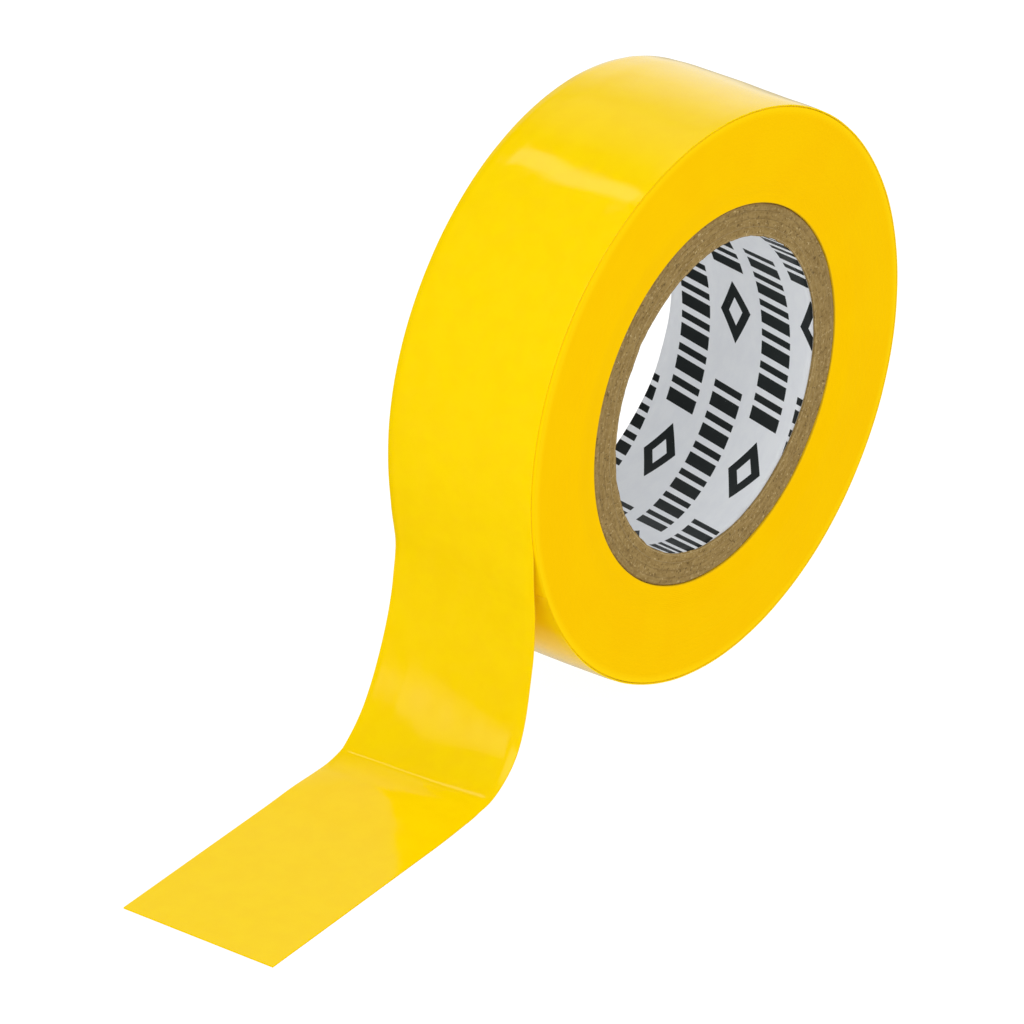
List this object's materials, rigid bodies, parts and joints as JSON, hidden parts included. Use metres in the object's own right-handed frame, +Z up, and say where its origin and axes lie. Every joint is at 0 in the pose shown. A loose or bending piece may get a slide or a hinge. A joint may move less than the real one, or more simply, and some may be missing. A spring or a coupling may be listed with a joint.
{
  "type": "electrical tape roll",
  "caption": "Roll of yellow PVC insulating tape wound on a cardboard core with a printed liner, its free end peeled down and laid flat.",
  "frame": {"origin": "on the table, under the middle of the whole object's box", "axes": "+Z up; the roll's axis runs along Y; the free end of the tape points along -X"},
  "size_m": [0.1054, 0.019, 0.0619],
  "materials": {
    "yellow_pvc_film": "glossy soft PVC film, saturated yellow",
    "yellow_wound_edges": "satin slit edges of the wound turns, deeper yellow",
    "rubber_adhesive": "tacky rubber adhesive, the film's yellow showing through",
    "kraft_board": "raw cut kraft board, fibrous",
    "printed_liner_paper": "satin light grey paper with a plain dark pattern"
  },
  "bodies": {
    "outermost_turn": {"outer_turn_film": "yellow_pvc_film", "outer_turn_adhesive": "rubber_adhesive"},
    "roll": {"wound_turns": "yellow_wound_edges", "core_ply_1": "kraft_board", "core_ply_2": "kraft_board", "core_ply_3": "kraft_board", "core_ply_4": "kraft_board", "core_liner": "printed_liner_paper"},
    "tail": {"tail_film": "yellow_pvc_film", "tail_adhesive": "rubber_adhesive"},
    "free_end": {"free_end_film": "yellow_pvc_film", "free_end_adhesive": "rubber_adhesive"}
  },
  "joints": [
    {"name": "roll_turn", "type": "hinge", "parent": "outermost_turn", "child": "roll", "pos_m": [0.02176, 0, 0.03093], "axis": [0, -1, 0], "continuous": true},
    {"name": "tail_lift", "type": "hinge", "parent": "outermost_turn", "child": "tail", "pos_m": [-0.00784, 0, 0.02189], "axis": [0, 1, 0], "range_deg": [0, 75]},
    {"name": "free_end_lift", "type": "hinge", "parent": "tail", "child": "free_end", "pos_m": [-0.02021, 0, 0.00019], "axis": [0, 1, 0], "range_deg": [0, 60]}
  ]
}
